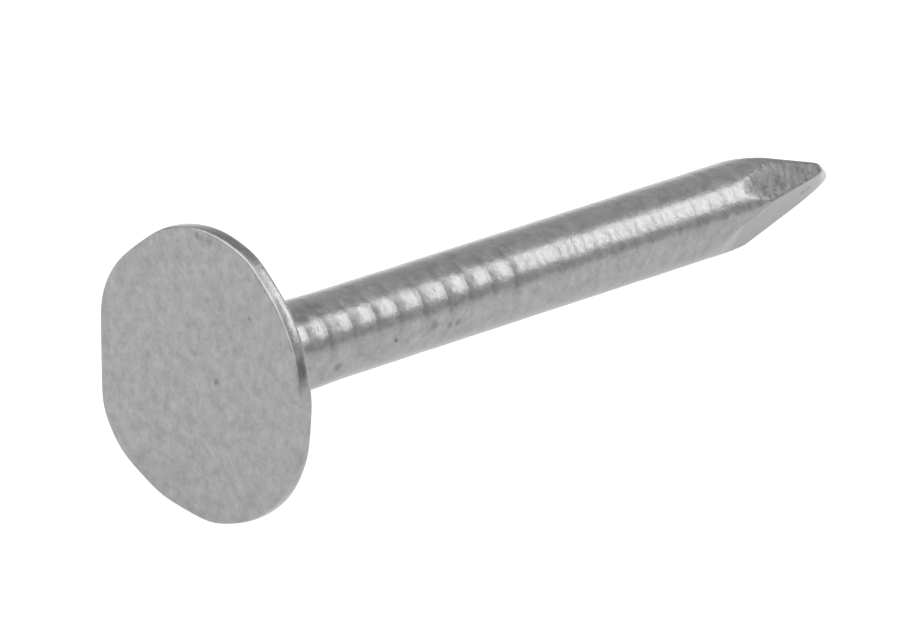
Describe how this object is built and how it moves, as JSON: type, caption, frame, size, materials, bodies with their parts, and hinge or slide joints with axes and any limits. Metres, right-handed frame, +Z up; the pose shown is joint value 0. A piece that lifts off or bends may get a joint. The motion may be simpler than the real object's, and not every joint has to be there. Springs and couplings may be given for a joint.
{
  "type": "nail",
  "caption": "Galvanised steel clout nail with a broad, thin, slightly oval flat head, grip marks under it and a four-sided pinched point.",
  "frame": {"origin": "centre of the bounding box in plan, on the surface the nail lies on", "axes": "+Z up and +X from head to point: the nail lies at rest on a flat of its rim and on the heel of its point, so its own axis runs from the struck face towards +X and dips 8.2 degrees"},
  "size_m": [0.0304, 0.0102, 0.0103],
  "materials": {
    "zinc_coated_steel": "hot-dip zinc coating, dull grey and finely mottled, with a soft satin glint on edges and grip marks"
  },
  "bodies": {
    "root": {"nail": "zinc_coated_steel"}
  },
  "joints": []
}
